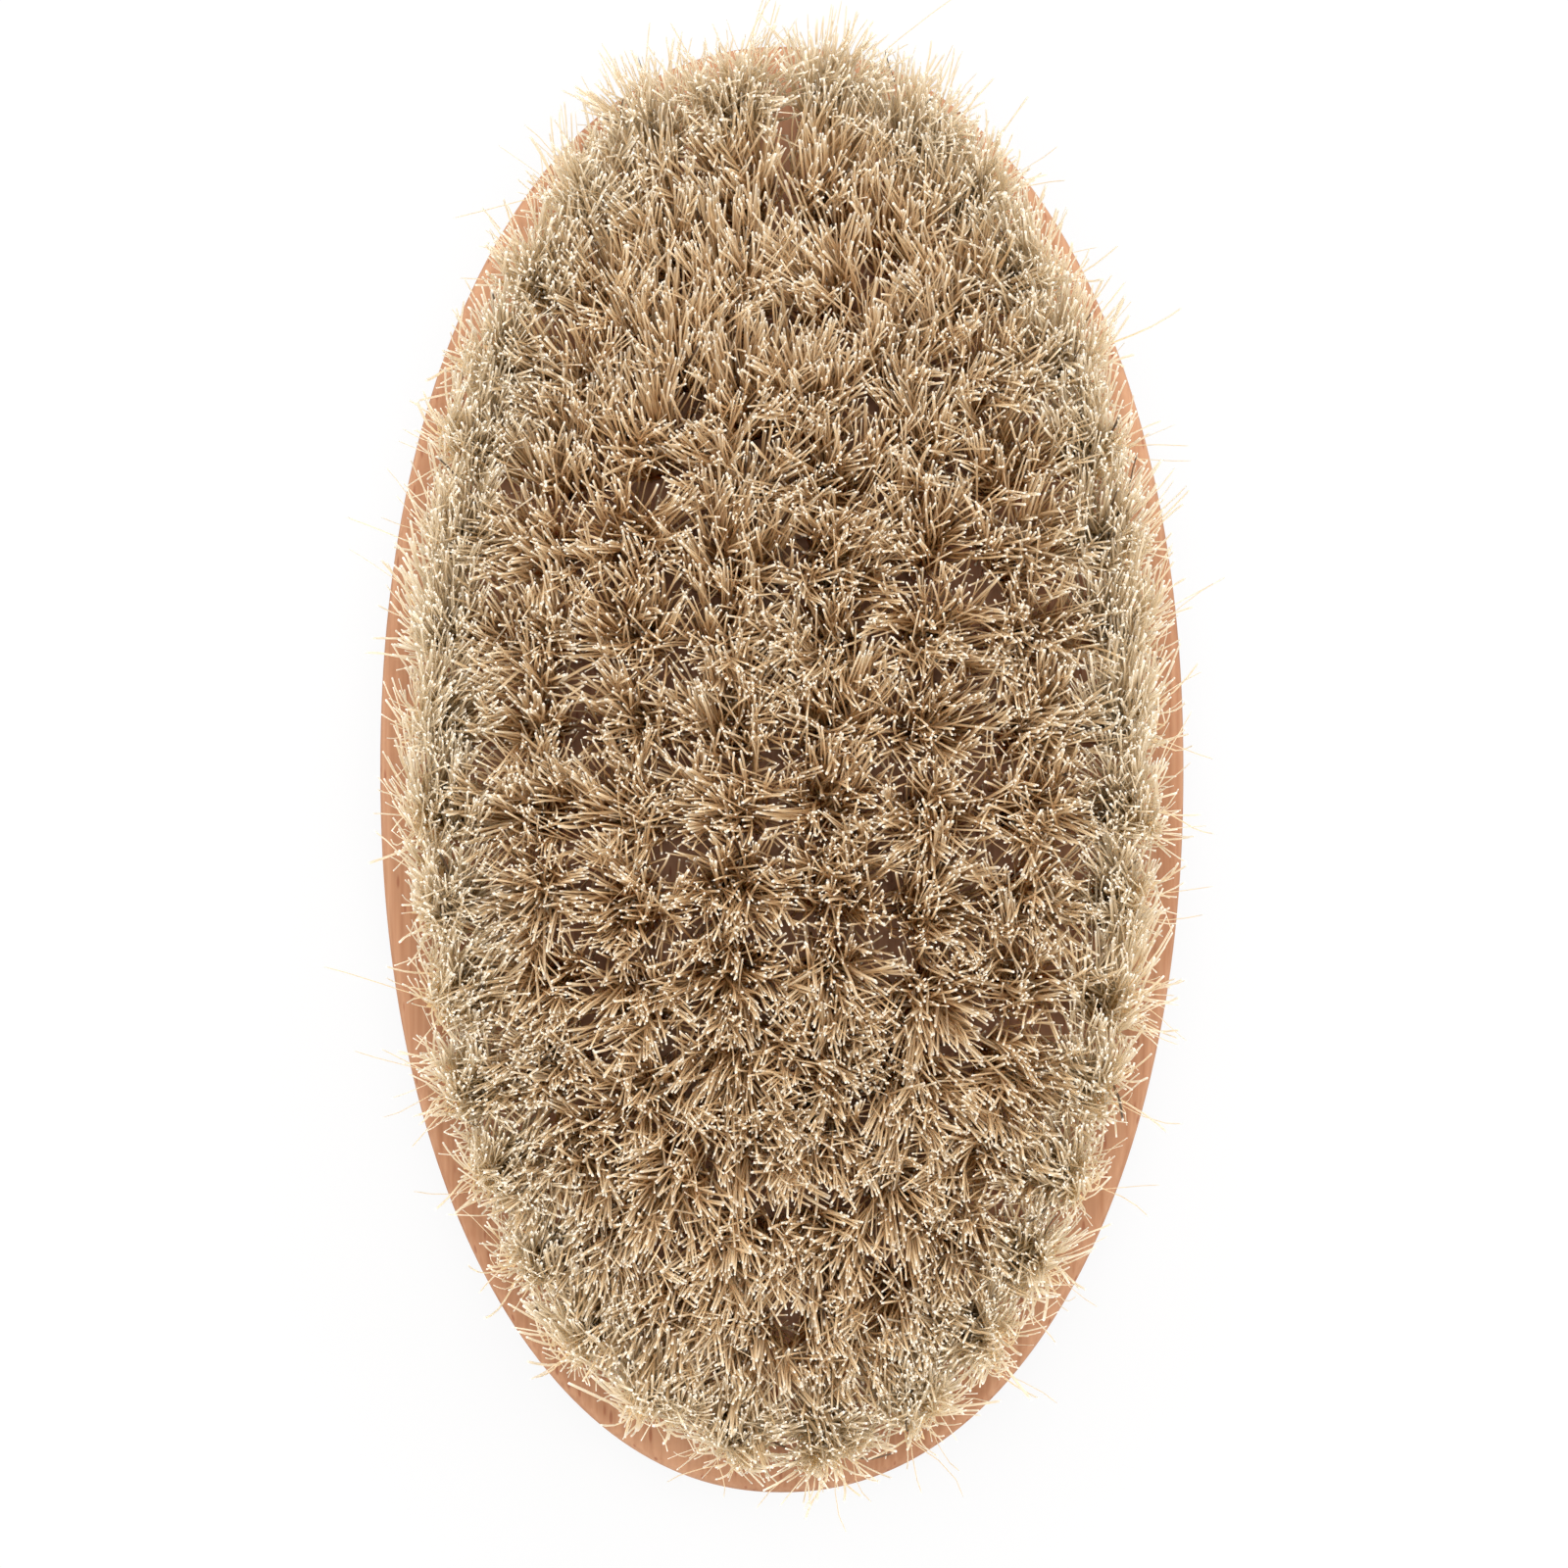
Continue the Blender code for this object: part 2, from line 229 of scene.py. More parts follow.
def cut_board(bottom_z, top_z, inset=0.0):
    """A square-edged slab with the block's outline."""
    bm = bmesh.new()
    bmesh.ops.create_circle(bm, cap_ends=True, segments=OUTLINE_POINTS, radius=HALF_WIDTH)
    for vert in bm.verts:
        turn = math.atan2(vert.co.y, vert.co.x)
        x, y = on_oval(HALF_WIDTH - inset, HALF_LENGTH - inset, OUTLINE_EXPONENT, turn)
        vert.co = (x, y, bottom_z)
    grown = bmesh.ops.extrude_face_region(bm, geom=bm.faces[:])
    upper = [part for part in grown["geom"] if isinstance(part, bmesh.types.BMVert)]
    bmesh.ops.translate(bm, verts=upper, vec=(0, 0, top_z - bottom_z))
    bmesh.ops.recalc_face_normals(bm, faces=bm.faces[:])
    return bm


def round_edge(bm, at_z, radius, steps):
    """Round the rim that lies at this height."""
    level = [edge for edge in bm.edges if all(abs(vert.co.z - at_z) < SAME_HEIGHT for vert in edge.verts)]
    rim = [edge for edge in level if edge.calc_face_angle() > RIM_ANGLE]
    bmesh.ops.bevel(bm, geom=rim, offset=radius, segments=steps, profile=0.5, affect="EDGES")


def set_in_brush(name, mesh, material):
    """Give a mesh its material, and make it a piece that rides on the brush's body."""
    mesh.materials.append(material)
    piece = bpy.data.objects.new(name, mesh)
    bpy.context.scene.collection.objects.link(piece)
    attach(piece, BODY)
    return piece


def finish_board(name, bm, material):
    """Turn a cut board into a shaded piece."""
    mesh = bpy.data.meshes.new(name)
    bm.to_mesh(mesh)
    bm.free()
    mesh.shade_smooth()
    mesh.set_sharp_from_angle(angle=SMOOTH_ANGLE)
    return set_in_brush(name, mesh, material)


bm = cut_board(back_low.z, SEAM_BOTTOM_Z)
round_edge(bm, back_low.z, BACK_EDGE, BACK_EDGE_STEPS)
back = finish_board("back_board_fine", bm, back_beech)
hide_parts("back_board")
print(back.name, len(back.data.polygons), "faces")

# %% [markdown]
# ## The glue line
#
# Once the tufts are drawn in, the back board is glued over the wires. The joint shows all round the brush as a
# thin amber line of dried glue, a hair's breadth behind the surface because it was sanded and shrank. A dark
# line painted on the wood would look the same from afar, but a slab of its own catches light as the joint does.

# %% Run the glue line
GLUE_INSET = 0.08 * MM
GLUE_AMBER = "#7A4E2C"


def make_glue(name):
    """Dried wood glue, sanded off. It is dark amber and a little shiny, so the eye reads a joint, not a gap."""
    glue = new_material(name)
    shader = add(glue, "BsdfPrincipled", Base_Color=linear(GLUE_AMBER), Roughness=0.4)
    add(glue, "OutputMaterial", Surface=shader.outputs[0])
    return glue


bm = cut_board(SEAM_BOTTOM_Z, SEAM_TOP_Z, GLUE_INSET)
glue_line = finish_board("glue_line", bm, make_glue("dried_glue"))
print("glue line", round((SEAM_TOP_Z - SEAM_BOTTOM_Z) / MM, 2), "mm thick")

# %% [markdown]
# ## Where the tufts stand
#
# The holes lie on four oval rings, evenly spaced from 6 mm inside the rim to two rows beside the long axis, and
# every 8 mm along a ring. We walk along each ring with small steps and read off the places, because equal
# angles would crowd the tufts at the ends. The inner rings are blunter, so that their end tufts keep wood
# between them.

# %% Lay out the rings
RING_NAMES = ("outer", "second", "third", "fourth")
QUARTERS = {"front_right": (1, 1), "front_left": (-1, 1), "rear_left": (-1, -1), "rear_right": (1, -1)}
RIM_TO_OUTER_RING = 6 * MM
TUFT_PITCH = 8 * MM
RING_BLUNTING = 0.25
RING_STEPS = 400


def even_turns(half_width, half_length, exponent):
    """The turns of one quarter's tufts, at even steps along it."""
    turns = np.linspace(0, math.pi / 2, RING_STEPS)
    points = on_oval(half_width, half_length, exponent, turns)
    run = np.concatenate(([0], np.cumsum(np.linalg.norm(np.diff(points, axis=0), axis=1))))
    count = max(1, round(run[-1] / TUFT_PITCH))
    return np.interp((np.arange(count) + 0.5) / count * run[-1], run, turns)


def lay_out_ring(number):
    """Mouths of the holes and their outward directions, for the quarter of a ring at the front right."""
    outer = HALF_WIDTH - RIM_TO_OUTER_RING
    pitch = outer / (len(RING_NAMES) - 0.5)      # which leaves half a pitch between the last ring and the axis
    half_width = outer - pitch * number
    half_length = HALF_LENGTH - RIM_TO_OUTER_RING - pitch * number
    exponent = OUTLINE_EXPONENT + RING_BLUNTING * number ** 2
    mouths = on_oval(half_width, half_length, exponent, even_turns(half_width, half_length, exponent))
    outward = mouths / np.array([half_width, half_length]) ** 2
    outward /= np.linalg.norm(outward, axis=1, keepdims=True)
    return mouths, outward


rings = {name: lay_out_ring(number) for number, name in enumerate(RING_NAMES)}
tuft_count = sum(len(mouths) for mouths, _ in rings.values()) * len(QUARTERS)
print(tuft_count, "tufts in", len(rings), "rings")

# %% [markdown]
# ## Drill the face board
#
# Each tuft sits in its own drilled hole. A Boolean takes all the drill's cylinders out of the board at once,
# just as the drill did, so the wood between the tufts is a real face with real holes in it.

# %% Drill the holes
HOLE_DIAMETER, HOLE_DEPTH, HOLE_SIDES = 4.8 * MM, 7 * MM, 20


def drill_face(board):
    """Cut a blind hole into the board under every tuft."""
    bm = bmesh.new()
    for mouths, _ in rings.values():
        for sides in QUARTERS.values():
            for x, y in mouths * sides:
                bit = bmesh.ops.create_cone(bm, cap_ends=True, segments=HOLE_SIDES, depth=2 * HOLE_DEPTH,
                                            radius1=HOLE_DIAMETER / 2, radius2=HOLE_DIAMETER / 2)
                bmesh.ops.translate(bm, verts=bit["verts"], vec=(x, y, FACE_Z))
    mesh = bpy.data.meshes.new("drill")
    bm.to_mesh(mesh)
    bm.free()
    drill = bpy.data.objects.new("drill", mesh)
    bpy.context.scene.collection.objects.link(drill)
    cut = board.modifiers.new("drilled", "BOOLEAN")
    cut.operation, cut.solver, cut.object = "DIFFERENCE", "EXACT", drill
    drilled = board.evaluated_get(bpy.context.evaluated_depsgraph_get())
    board.data = bpy.data.meshes.new_from_object(drilled)
    board.modifiers.clear()
    bpy.data.objects.remove(drill, do_unlink=True)


bm = cut_board(SEAM_TOP_Z, FACE_Z)
round_edge(bm, FACE_Z, FACE_ARRIS, FACE_ARRIS_STEPS)
face = finish_board("face_board_fine", bm, face_beech)
drill_face(face)
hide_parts("face_board")
print(face.name, len(face.data.polygons), "faces")

# %% [markdown]
# ## Washed bristle
#
# The bristle is washed natural hair. Each one is a little different: they run from cream to nearly white, and
# six in a thousand are dark brown. Each bristle is painted darker and yellower towards its root, which is painted
# shade for the depth of the tuft, where little light gets in. Its tip is painted a little greyer, which is
# painted shade that tones down the strong light on the tips. Where the shears cut the bristles, the pale core
# shows. Two
# numbers stored on the mesh carry this: shade, which is one value for a whole bristle, and run, which goes from 0
# at its root to 1 at its tip.
#
# - Keratin is smooth, like horn, so a bristle keeps a thin bright line of light. Its IOR is 1.55.
# - A bristle is thin enough to let most light through, so the eye reads hair and not wire. A subsurface shader
#   would suit a thick piece of horn. For a hair, a translucent one does the same and is much quicker.

# %% Make the bristles' materials
HAIR_COLOURS = ((0.0, "#3A2A20"), (0.03, "#4A382B"), (0.05, "#EADBC2"), (0.3, "#F8E8CC"),
                (0.6, "#FCF3E2"), (1.0, "#FFFBF2"))
# Tints along a bristle, from root to tip. Their darker, yellower root end is painted shade deep in the tufts, and
# their greyer tip is painted shade against the strong light on the tips.
PALE_AND_LIT_TINTS = ((0.0, "#FFDC98"), (0.5, "#FFE9B8"), (0.85, "#F6E8CE"), (1.0, "#E8DCC6"))
GOLDEN_AND_SHADED_TINTS = ((0.0, "#FFBC6C"), (0.5, "#FFDA98"), (0.8, "#FAE3C0"), (0.94, "#F0E1C8"), (1.0, "#E4D8C2"))
CUT_END = "#E8DECC"
CUT_END_RUN = (0.975, 0.995)             # where on a bristle the colour of its cut end comes in


def make_bristle(name, tints, passed_on, depth_tint):
    """Washed bristle. tints multiply its colour, from root to tip.

    passed_on is the share of the light that goes through it. depth_tint is the gamma of that light's colour: a
    low one keeps it pale, because a single hair is too thin to colour it much.
    """
    bristle = new_material(name)
    shade, run = (add(bristle, "Attribute", {"attribute_name": stored}).outputs["Fac"]
                  for stored in ("shade", "run"))
    hair, length = add(bristle, "ValToRGB", Fac=shade), add(bristle, "ValToRGB", Fac=run)
    fill_ramp(hair.color_ramp, HAIR_COLOURS)
    # The tints along the run paint shade: darker and yellower at the root, deep in the tuft, and greyer at the
    # tip.
    fill_ramp(length.color_ramp, tints)
    tinted = add(bristle, "Mix", {"data_type": "RGBA", "blend_type": "MULTIPLY"},
                 i0=1.0, i6=hair.outputs[0], i7=length.outputs[0])
    cut_end = add(bristle, "MapRange", Value=run, From_Min=CUT_END_RUN[0], From_Max=CUT_END_RUN[1])
    colour = add(bristle, "Mix", {"data_type": "RGBA"}, i0=cut_end.outputs[0],
                 i6=tinted.outputs[2], i7=linear(CUT_END))
    outside = add(bristle, "BsdfPrincipled", Base_Color=colour.outputs[2], Roughness=0.45, IOR=1.55,
                  Specular_IOR_Level=0.25)
    glow = add(bristle, "Gamma", Color=colour.outputs[2], Gamma=depth_tint)
    through = add(bristle, "BsdfTranslucent", Color=glow.outputs[0])
    shader = add(bristle, "MixShader", i0=passed_on, i1=outside.outputs[0], i2=through.outputs[0])
    add(bristle, "OutputMaterial", Surface=shader.outputs[0])
    return bristle


# Two copies of the bristle. The paler one, for the outer ring and the strays, is partly paler hair and partly
# painted light for the light that the outer ring catches from the sides. The golden one, for the inner rings, is
# partly painted shade, because they stand in each other's shade.
pale_and_lit_bristle = make_bristle("pale_and_lit_bristle", PALE_AND_LIT_TINTS, passed_on=0.68, depth_tint=0.22)
golden_and_shaded_bristle = make_bristle("golden_and_shaded_bristle", GOLDEN_AND_SHADED_TINTS, passed_on=0.62, depth_tint=0.26)
print("made", pale_and_lit_bristle.name, "and", golden_and_shaded_bristle.name)

# %% [markdown]
# ## Locks and wisps
#
# A bundle leaves its hole as tight as it was packed, and then opens like a shaving brush, but not evenly. It
# parts into half a dozen locks, and in a lock the bristles cling together in small wisps. Hair curves are
# Blender's usual way to make this, but plain meshes can't keep them, so the bristles here are thin tubes, and
# numpy works out all the bristles of a bundle at once. It starts with places in a disc of radius 1, which stands
# for the bundle's cross-section.

# %% Place locks and wisps
LOCKS_IN_A_TUFT = 6
LOCK_PLACE, LOCK_SCATTER = 0.7, 0.18


def in_disc(chance, count):
    """Random places in a disc of radius 1."""
    angle, radius = chance.uniform(0, 2 * math.pi, count), np.sqrt(chance.uniform(0, 1, count))
    return np.stack([np.cos(angle) * radius, np.sin(angle) * radius], axis=-1)


def place_locks(chance):
    """The places of a tuft's locks in the disc: one in the middle and the others round it."""
    around = LOCKS_IN_A_TUFT - 1
    turn = (np.arange(around) + chance.uniform(0, 1)) / around * 2 * math.pi
    places = np.stack([np.cos(turn), np.sin(turn)], axis=-1) * LOCK_PLACE
    return np.concatenate([[[0, 0]], places]) + chance.normal(0, LOCK_SCATTER, (LOCKS_IN_A_TUFT, 2))


def nearest(places, centres):
    """For each place, the number of the centre that is nearest to it."""
    return np.argmin(np.linalg.norm(places[:, None] - centres[None], axis=2), axis=1)


print("each tuft has", LOCKS_IN_A_TUFT, "locks")

# %% [markdown]
# ## How a bristle bends
#
# A bristle is stiff at its root and bends more and more towards its tip. So its way sideways is a sum of
# terms in s, its share of the full length, where a higher power of s acts nearer the tip. Its height follows
# from its length, because a bristle that goes sideways can't rise as far.
#
# - drift: how far it crosses the bundle. lean: how far its whole tuft leans.
# - axis: how far its lock leans. splay: how far it leaves the middle of its lock.
# - sway and bow: how much it waves, and how much it arches.

# %% Bend the paths
RUN = np.array([0, 0.4, 0.64, 0.8, 0.92, 1.0])       # where on a bristle's length its path has points
BRISTLE_LENGTH = 25 * MM
ROOT_DEPTH = 6.8 * MM
EARLY_SHARE = 0.4                        # of a lock's lean: this much starts at the hole
LEAST_RISE = 0.2                         # of a step: no bristle lies flatter than this


def with_root(path):
    """The paths with one more point each, straight down in the hole."""
    return np.concatenate([path[:, :1] - np.array([0, 0, ROOT_DEPTH]), path], axis=1)


def bend_paths(length, start, drift, lean, axis, splay, sway, bow):
    """Paths of bristles from their roots to their tips, as an array of bristles by points by x, y and z."""
    s = (RUN[None] * (length / BRISTLE_LENGTH)[:, None])[..., None]
    flat = (start[:, None] + drift[:, None] * s + lean * s ** 3
            + axis[:, None] * (EARLY_SHARE * s + (1 - EARLY_SHARE) * s ** 2.5) + splay[:, None] * s ** 4
            + sway * np.sin(s * 5) + bow * np.sin(s * math.pi))
    step = length[:, None] * np.diff(RUN)
    across = np.linalg.norm(np.diff(flat, axis=1), axis=2)
    rise = np.sqrt(np.maximum(step ** 2 - across ** 2, (LEAST_RISE * step) ** 2))
    height = FACE_Z + np.concatenate([np.zeros((len(flat), 1)), np.cumsum(rise, axis=1)], axis=1)
    return with_root(np.concatenate([flat, height[..., None]], axis=2))


print("a bristle shows", round(BRISTLE_LENGTH / MM), "mm of its length, along", len(RUN), "points")

# %% [markdown]
# ## One bundle
#
# In a real bundle some bristles cross over to another wisp, some are cut short and lie between the others, and
# a few go their own way. Without them the tufts look like plastic. Each of these habits is a draw from one
# seeded generator, so the brush comes out the same every time.

# %% Grow one bundle
BUNDLE_RADIUS = 2.3 * MM
BRISTLES_IN_A_WISP, WISP_PULL = 6, 0.6
CROSSED_SHARE = 0.4
LOCK_BLUR = 0.03                         # of the bundle's radius
TIP_SCATTER = 0.4 * MM
WISP_TURN = 1.1 * MM
WILD_SHARE, WILD_TURN = 0.15, 1.8 * MM
LENGTH_SCATTER = 0.02
SHORT_LENGTHS, SHORT_TURN = (0.6, 0.98), 2.3 * MM
SWAY, OWN_BOW, WISP_BOW = 0.3 * MM, 0.3 * MM, 0.8 * MM


def grow_bundle(mouth, outward, lean, spread, inward, fan, unrest, cut_short, count, chance):
    """The paths of one bundle's bristles. spread and fan are pairs: outward, and along the ring."""
    compass = np.stack([outward, (-outward[1], outward[0])])
    spot, wisp, lock = in_disc(chance, count), in_disc(chance, count // BRISTLES_IN_A_WISP), place_locks(chance)
    crossed = chance.uniform(0, 1, count) < CROSSED_SHARE * unrest
    tip_spot = np.where(crossed[:, None], in_disc(chance, count), spot)
    own_wisp = nearest(tip_spot, wisp)
    own_lock = lock[nearest(wisp, lock)[own_wisp]]
    gathered = tip_spot + (wisp[own_wisp] - tip_spot) * WISP_PULL

    place = own_lock + chance.normal(0, LOCK_BLUR, (count, 2))
    axis = place * np.where(place < 0, (inward, spread[1]), spread) @ compass
    splay = (gathered - own_lock) * fan @ compass + chance.normal(0, TIP_SCATTER, (count, 2))
    turn = unrest * chance.normal(0, WISP_TURN, (len(wisp), 2))[own_wisp]
    wild = chance.uniform(0, 1, count) < WILD_SHARE
    turn[wild] += chance.normal(0, WILD_TURN, (wild.sum(), 2))

    length = BRISTLE_LENGTH * (1 + chance.normal(0, LENGTH_SCATTER, count))
    short = chance.uniform(0, 1, count) < cut_short
    length[short] *= chance.uniform(*SHORT_LENGTHS, short.sum())
    axis[short] += chance.normal(0, SHORT_TURN, (short.sum(), 2))
    sway = chance.normal(0, SWAY, (count, 1, 2))
    bow = chance.normal(0, WISP_BOW, (len(wisp), 1, 2))[own_wisp] + chance.normal(0, OWN_BOW, (count, 1, 2))
    start, end = spot * BUNDLE_RADIUS @ compass, tip_spot * BUNDLE_RADIUS @ compass
    return bend_paths(length, mouth + start, end - start, lean, axis, splay + turn, sway, unrest * bow)


print("a hole of", round(HOLE_DIAMETER / MM, 1), "mm holds a bundle of", round(2 * BUNDLE_RADIUS / MM, 1), "mm")

# %% [markdown]
# ## From paths to tubes
#
# A bristle is 0.1 to 0.2 mm thick, one or two pixels in the picture, so four sides are plenty. The ring of
# points round each path is worked out for all bristles together, and the mesh is filled from arrays, which
# takes seconds where a loop over bristles takes minutes. Each tube is closed at both ends, and its two end
# faces have sharp edges, so that a cut tip catches the light as a small flat does.

# %% Build the tubes
SIDES = 4


def tube_points(paths, radius, chance):
    """Points round each path: bristles by points by sides by 3."""
    along = np.gradient(paths, axis=1)
    along /= np.linalg.norm(along, axis=2, keepdims=True)
    turn = chance.uniform(0, 2 * math.pi, len(paths))
    reference = np.stack([np.cos(turn), np.sin(turn), np.zeros(len(paths))], axis=-1)[:, None]
    across = np.cross(along, reference)
    across /= np.linalg.norm(across, axis=2, keepdims=True)
    other = np.cross(along, across)
    angle = np.arange(SIDES) / SIDES * 2 * math.pi
    ring = (across[:, :, None] * np.cos(angle)[None, None, :, None]
            + other[:, :, None] * np.sin(angle)[None, None, :, None])
    return paths[:, :, None] + ring * radius[:, :, None, None]


def store(mesh, name, values):
    """Keep one number for each vertex on the mesh, for the material to read."""
    data = np.ascontiguousarray(values, dtype=np.float32).reshape(-1)
    mesh.attributes.new(name, "FLOAT", "POINT").data.foreach_set("value", data)


def sharpen_ends(mesh, index):
    """Mark the edges round the two end faces of every tube as sharp."""
    ends = np.zeros(index.shape, dtype=bool)
    ends[:, (0, -1)] = True
    edges = np.empty(len(mesh.edges) * 2, dtype=np.int32)
    mesh.edges.foreach_get("vertices", edges)
    rows = edges.reshape(-1, 2) // SIDES
    sharp = (rows[:, 0] == rows[:, 1]) & ends.reshape(-1)[edges[::2]]
    mesh.attributes.new("sharp_edge", "BOOLEAN", "EDGE").data.foreach_set("value", sharp)


def build_tubes(name, paths, radius, shade, chance):
    """One mesh of closed tubes, with each bristle's shade, its run from root to tip, and its map."""
    count, points = paths.shape[:2]
    places = tube_points(paths, radius, chance)
    index = np.arange(count * points * SIDES).reshape(count, points, SIDES)
    nxt = np.roll(index, -1, axis=2)
    walls = np.stack([index[:, :-1], nxt[:, :-1], nxt[:, 1:], index[:, 1:]], axis=-1)
    roots, tips = index[:, 0, ::-1], index[:, -1]
    faces = np.concatenate([walls.reshape(count, -1, SIDES), roots[:, None], tips[:, None]], axis=1)
    corners = faces.reshape(-1)

    mesh = bpy.data.meshes.new(name)
    mesh.vertices.add(places.size // 3)
    mesh.vertices.foreach_set("co", places.reshape(-1).astype(np.float32))
    mesh.loops.add(corners.size)
    mesh.loops.foreach_set("vertex_index", corners.astype(np.int32))
    mesh.polygons.add(corners.size // SIDES)
    mesh.polygons.foreach_set("loop_start", np.arange(0, corners.size, SIDES, dtype=np.int32))
    mesh.update(calc_edges=True)
    mesh.shade_smooth()

    store(mesh, "shade", np.broadcast_to(shade[:, None, None], index.shape))
    store(mesh, "run", np.broadcast_to(np.concatenate(([0], RUN))[None, :, None], index.shape))
    sharpen_ends(mesh, index)
    mesh.uv_layers.new(name="OFBake").data.foreach_set("uv", bristle_map(count, points).reshape(-1))
    return mesh


print("a tube has", SIDES, "sides")

# %% [markdown]
# ## A map for baked colour
#
# Colours can be baked onto this flat map. An automatic unwrap of thousands of slivers would lose them, so each
# bristle gets a small upright cell of its own: a strip for each side, and its two end faces above and below.

# %% Lay out the map
WALL_BAND = (0.14, 0.86)                 # the part of a cell's height that the sides take
CAP_BANDS = ((0.02, 0.11), (0.89, 0.98))
STRIP_MARGIN, CAP_MARGIN, CELL_MARGIN = 0.08, 0.1, 0.04


def bristle_map(count, points):
    """The map's corners: bristles by faces by 4 by 2, in the order of the tubes' faces."""
    columns = math.ceil(math.sqrt(count))
    side, step = np.meshgrid(np.arange(SIDES), np.arange(points - 1))
    low, high = WALL_BAND
    left, right = (side + STRIP_MARGIN) / SIDES, (side + 1 - STRIP_MARGIN) / SIDES
    bottom, top = (low + (high - low) * (step + k) / (points - 1) for k in (0, 1))
    walls = np.stack([np.stack([left, bottom], -1), np.stack([right, bottom], -1),
                      np.stack([right, top], -1), np.stack([left, top], -1)], axis=2).reshape(-1, 4, 2)
    near, far = CAP_MARGIN, 1 - CAP_MARGIN
    caps = [[(near, a), (far, a), (far, b), (near, b)] for a, b in CAP_BANDS]
    cell = np.concatenate([walls, np.array(caps)])
    number = np.arange(count)
    corner = np.stack([number % columns, number // columns], axis=-1)
    cells = corner[:, None, None] + CELL_MARGIN + cell[None] * (1 - 2 * CELL_MARGIN)
    return (cells / columns).astype(np.float32)


print("a bristle has", bristle_map(1, len(RUN) + 1).shape[1], "faces")

# %% [markdown]
# ## Fill the brush
#
# The tufts of each quarter of a ring are one piece, which stands for the imported solid of the same tufts. The
# outer ring is the palest, in its tone and its tints. Partly its hair is paler, and partly this is painted light
# for the light it catches from the sides, while the inner rings, which stand in each other's shade, are painted
# more golden. The outer ring is combed most towards the far end, and leans outward so little that the rim of wood
# shows beside it. Between its coarse bristles grow finer ones, which make it soft. The inner rings open to all
# sides until they meet.
#
# - comb: how far the tips lean towards the far end.
# - spread: how far a tuft's locks lean outward, and along the ring. inward: how far they lean inward.
# - fan: how far the bristles of a lock open outward, and along the ring.
# - swell: how much further from the brush's middle the tips stand than their hole, as a share.
# - unrest: 0 is neat, and 1 is tousled. short: the share of the bristles that is cut short.
# - tone: the mean shade, where 0 is cream and 1 is nearly white. count: the bristles in a tuft.

# %% Say how each kind grows
GROWTH = {                               # comb, spread, inward, fan and thickness are in millimetres
    "outer": {"comb": 2.3, "spread": (0.4, 3.8), "inward": 3.6, "fan": (1.6, 3.6), "thickness": 0.19,
              "swell": -0.008, "unrest": 0.6, "short": 0.5, "tone": 0.8, "count": 230},
    "outer_fine": {"comb": 2.4, "spread": (1.0, 3.8), "inward": 3.6, "fan": (2.0, 3.8), "thickness": 0.13,
                   "swell": 0.0, "unrest": 0.7, "short": 0.6, "tone": 0.85, "count": 160},
    "second": {"comb": 0.9, "spread": (3.8, 3.6), "inward": 3.8, "fan": (3.6, 3.5), "thickness": 0.19,
               "swell": 0.07, "unrest": 1, "short": 0.4, "tone": 0.5, "count": 300},
    "third": {"comb": 0.9, "spread": (3.9, 3.6), "inward": 3.9, "fan": (3.8, 3.5), "thickness": 0.19,
              "swell": 0.07, "unrest": 1, "short": 0.4, "tone": 0.47, "count": 300},
    "fourth": {"comb": 0.9, "spread": (4.3, 3.6), "inward": 4.8, "fan": (4.4, 3.5), "thickness": 0.19,
               "swell": 0.07, "unrest": 1, "short": 0.4, "tone": 0.47, "count": 300},
}
print(len(GROWTH), "kinds of bristle")

# %% [markdown]
# ## One tuft
#
# No two tufts are alike: each has its own count of bristles, its own lean, opening and tone. Copies of one good
# tuft would be quicker to make, but the eye finds such repeats at once.

# %% Grow one tuft
COMB_GAIN = 0.4                          # how much more the far end is combed, and the near end less
LEAN_SCATTER = 0.9 * MM
COUNT_RANGE, OPENING_RANGE = (0.88, 1.12), (0.85, 1.12)
TUFT_TONE_SCATTER, HAIR_TONE_SCATTER = 0.05, 0.16
PALE_SHADES = (0.06, 1)
DARK_SHARE, DARK_SHADE = 0.006, 0.01


def tuft_lean(mouth, swell, comb, chance):
    """How far this tuft's tips lie from its hole: away from the middle, combed along, and by chance."""
    combed = np.array([0, comb * (1 + COMB_GAIN * mouth[1] / HALF_LENGTH)])
    return mouth * swell + combed + chance.normal(0, LEAN_SCATTER, 2)


def grow_tuft(habit, mouth, outward, loosening, chance):
    """The paths and shades of one tuft's bristles."""
    count = int(habit["count"] * chance.uniform(*COUNT_RANGE))
    lean = tuft_lean(mouth, habit["swell"], habit["comb"] * MM, chance)
    looser = np.array([loosening * (mouth[1] / HALF_LENGTH) ** 2, 0])
    opening = chance.uniform(*OPENING_RANGE)
    spread, fan = ((np.array(habit[key]) * MM + looser) * opening for key in ("spread", "fan"))
    paths = grow_bundle(mouth, outward, lean, spread, habit["inward"] * MM, fan,
                        habit["unrest"], habit["short"], count, chance)
    tone = chance.normal(habit["tone"], TUFT_TONE_SCATTER)
    shade = np.clip(chance.normal(tone, HAIR_TONE_SCATTER, count), *PALE_SHADES)
    shade[chance.uniform(0, 1, count) < DARK_SHARE] = DARK_SHADE
    return paths, shade


print("at the far end the tips lean", round(GROWTH["outer"]["comb"] * (1 + COMB_GAIN), 1), "mm")

# %% [markdown]
# ## Every quarter of every ring
#
# All the tufts of a quarter go into one mesh, because Blender is slow with thousands of objects. A bristle's
# thickness varies as hair does, and it is thicker in the hole, where the glue holds it.

# %% Grow every quarter of every ring
THICKNESS_SCATTER, THICKNESS_LIMITS = 0.24, (0.5, 1.5)
ROOT_THICKENING = 1.3
END_LOOSENING = 1.0 * MM                 # how much wider the outer ring opens at the brush's two ends


